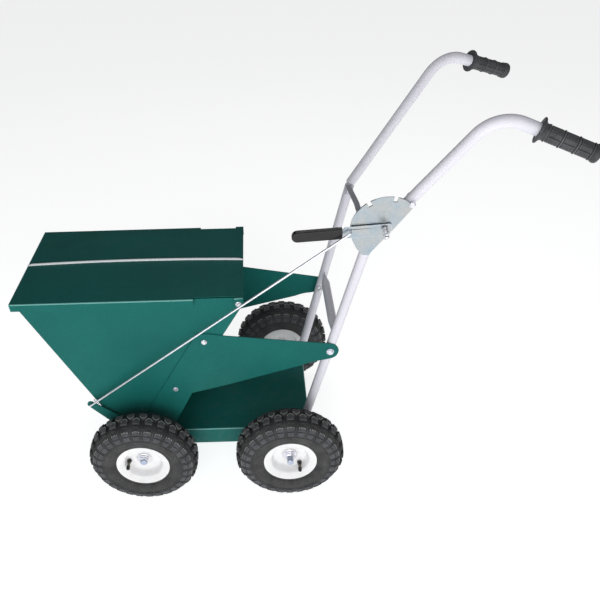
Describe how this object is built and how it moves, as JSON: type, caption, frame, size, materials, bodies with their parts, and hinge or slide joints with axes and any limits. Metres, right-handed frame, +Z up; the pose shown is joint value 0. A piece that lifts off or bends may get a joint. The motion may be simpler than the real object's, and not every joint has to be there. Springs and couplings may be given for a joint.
{
  "type": "drop spreader",
  "caption": "Four-wheel push drop spreader: lidded steel hopper on a tray deck, pneumatic wheels, bent tube handles, and a lever and rod that open a rotary drop gate.",
  "frame": {"origin": "middle of the footprint, on the ground", "axes": "+X from the hopper to the handle, +Y to the operator's right, +Z up"},
  "size_m": [1.1232, 0.546, 0.9289],
  "materials": {
    "green_paint": "satin powder coat, lightly textured",
    "silver_paint": "satin silver paint",
    "grey_paint": "dull grey paint",
    "zinc_plate": "bright zinc plating with faint bluish spangle",
    "white_paint": "white powder coat",
    "white_line": "thin white strip",
    "tyre_rubber": "moulded rubber",
    "valve_rubber": "moulded rubber",
    "grip_rubber": "matt moulded rubber"
  },
  "bodies": {
    "frame": {"hopper_shell": "green_paint", "deck": "green_paint", "side_plate_left": "green_paint", "side_plate_right": "green_paint", "plate_bolt_upper_left": "zinc_plate", "plate_bolt_lower_left": "zinc_plate", "plate_bolt_upper_right": "zinc_plate", "plate_bolt_lower_right": "zinc_plate", "lid_hinge_bolt_left": "zinc_plate", "lid_hinge_bolt_right": "zinc_plate", "handle_lower_left": "silver_paint", "handle_lower_right": "silver_paint", "handle_upper_left": "silver_paint", "handle_upper_right": "silver_paint", "grip_left": "grip_rubber", "grip_right": "grip_rubber", "foot_bolt_left": "zinc_plate", "foot_bolt_right": "zinc_plate", "handle_bolt_left": "zinc_plate", "handle_bolt_right": "zinc_plate", "joint_bolt_left": "zinc_plate", "joint_bolt_right": "zinc_plate", "lower_cross_brace": "silver_paint", "upper_cross_brace": "grey_paint", "quadrant_plate": "zinc_plate", "quadrant_bolt": "zinc_plate", "lever_pivot_stud": "zinc_plate", "lever_spring": "zinc_plate", "rear_axle": "zinc_plate", "axle_nut_rear_left": "zinc_plate", "axle_nut_rear_right": "zinc_plate"},
    "front_drive": {"front_axle": "zinc_plate", "drive_pin": "zinc_plate", "agitator": "zinc_plate", "rim_front_left": "white_paint", "tyre_front_left": "tyre_rubber", "valve_stem_front_left": "valve_rubber", "axle_nut_front_left": "zinc_plate", "axle_nut_front_right": "zinc_plate"},
    "front_right_wheel": {"tyre_front_right": "tyre_rubber", "rim_front_right": "white_paint", "valve_stem_front_right": "valve_rubber", "wheel_bush_front_right": "zinc_plate"},
    "rear_left_wheel": {"tyre_rear_left": "tyre_rubber", "rim_rear_left": "white_paint", "valve_stem_rear_left": "valve_rubber", "wheel_bush_rear_left": "zinc_plate"},
    "rear_right_wheel": {"tyre_rear_right": "tyre_rubber", "rim_rear_right": "white_paint", "valve_stem_rear_right": "valve_rubber", "wheel_bush_rear_right": "zinc_plate"},
    "lid": {"lid": "green_paint", "lid_guide_line": "white_line"},
    "lever": {"lever_bar": "zinc_plate", "lever_sleeve": "grip_rubber"},
    "rod": {"control_rod": "zinc_plate", "rod_clip": "zinc_plate"},
    "gate": {"gate": "grey_paint", "gate_arm": "green_paint"}
  },
  "joints": [
    {"name": "front_drive_spin", "type": "hinge", "parent": "frame", "child": "front_drive", "pos_m": [-0.32092, 0, 0.1345], "axis": [0, 1, 0], "continuous": true},
    {"name": "front_right_spin", "type": "hinge", "parent": "frame", "child": "front_right_wheel", "pos_m": [-0.32092, 0.23, 0.1345], "axis": [0, 1, 0], "continuous": true},
    {"name": "rear_left_spin", "type": "hinge", "parent": "frame", "child": "rear_left_wheel", "pos_m": [0.04338, -0.23, 0.1345], "axis": [0, 1, 0], "continuous": true},
    {"name": "rear_right_spin", "type": "hinge", "parent": "frame", "child": "rear_right_wheel", "pos_m": [0.04338, 0.23, 0.1345], "axis": [0, 1, 0], "continuous": true},
    {"name": "lid_hinge", "type": "hinge", "parent": "frame", "child": "lid", "pos_m": [-0.06792, 0, 0.5381], "axis": [0, 1, 0], "range_deg": [0, 105]},
    {"name": "shutoff_lever", "type": "hinge", "parent": "frame", "child": "lever", "pos_m": [0.22609, -0.17389, 0.71259], "axis": [0, 0.9822, 0.1876], "range_deg": [0, 105]},
    {"name": "rod_upper_pivot", "type": "hinge", "parent": "lever", "child": "rod", "pos_m": [0.15959, -0.18197, 0.70688], "axis": [-0.0075, 0.9822, 0.1876], "range_deg": [-108, 0]},
    {"name": "gate_hinge", "type": "hinge", "parent": "frame", "child": "gate", "pos_m": [-0.32092, 0, 0.1345], "axis": [0, 1, 0], "range_deg": [0, 36.5]}
  ],
  "couplings": [
    {"joint": "rod_upper_pivot", "follows": "shutoff_lever", "ratio": -1.0197},
    {"joint": "gate_hinge", "follows": "shutoff_lever", "ratio": 0.34343}
  ]
}
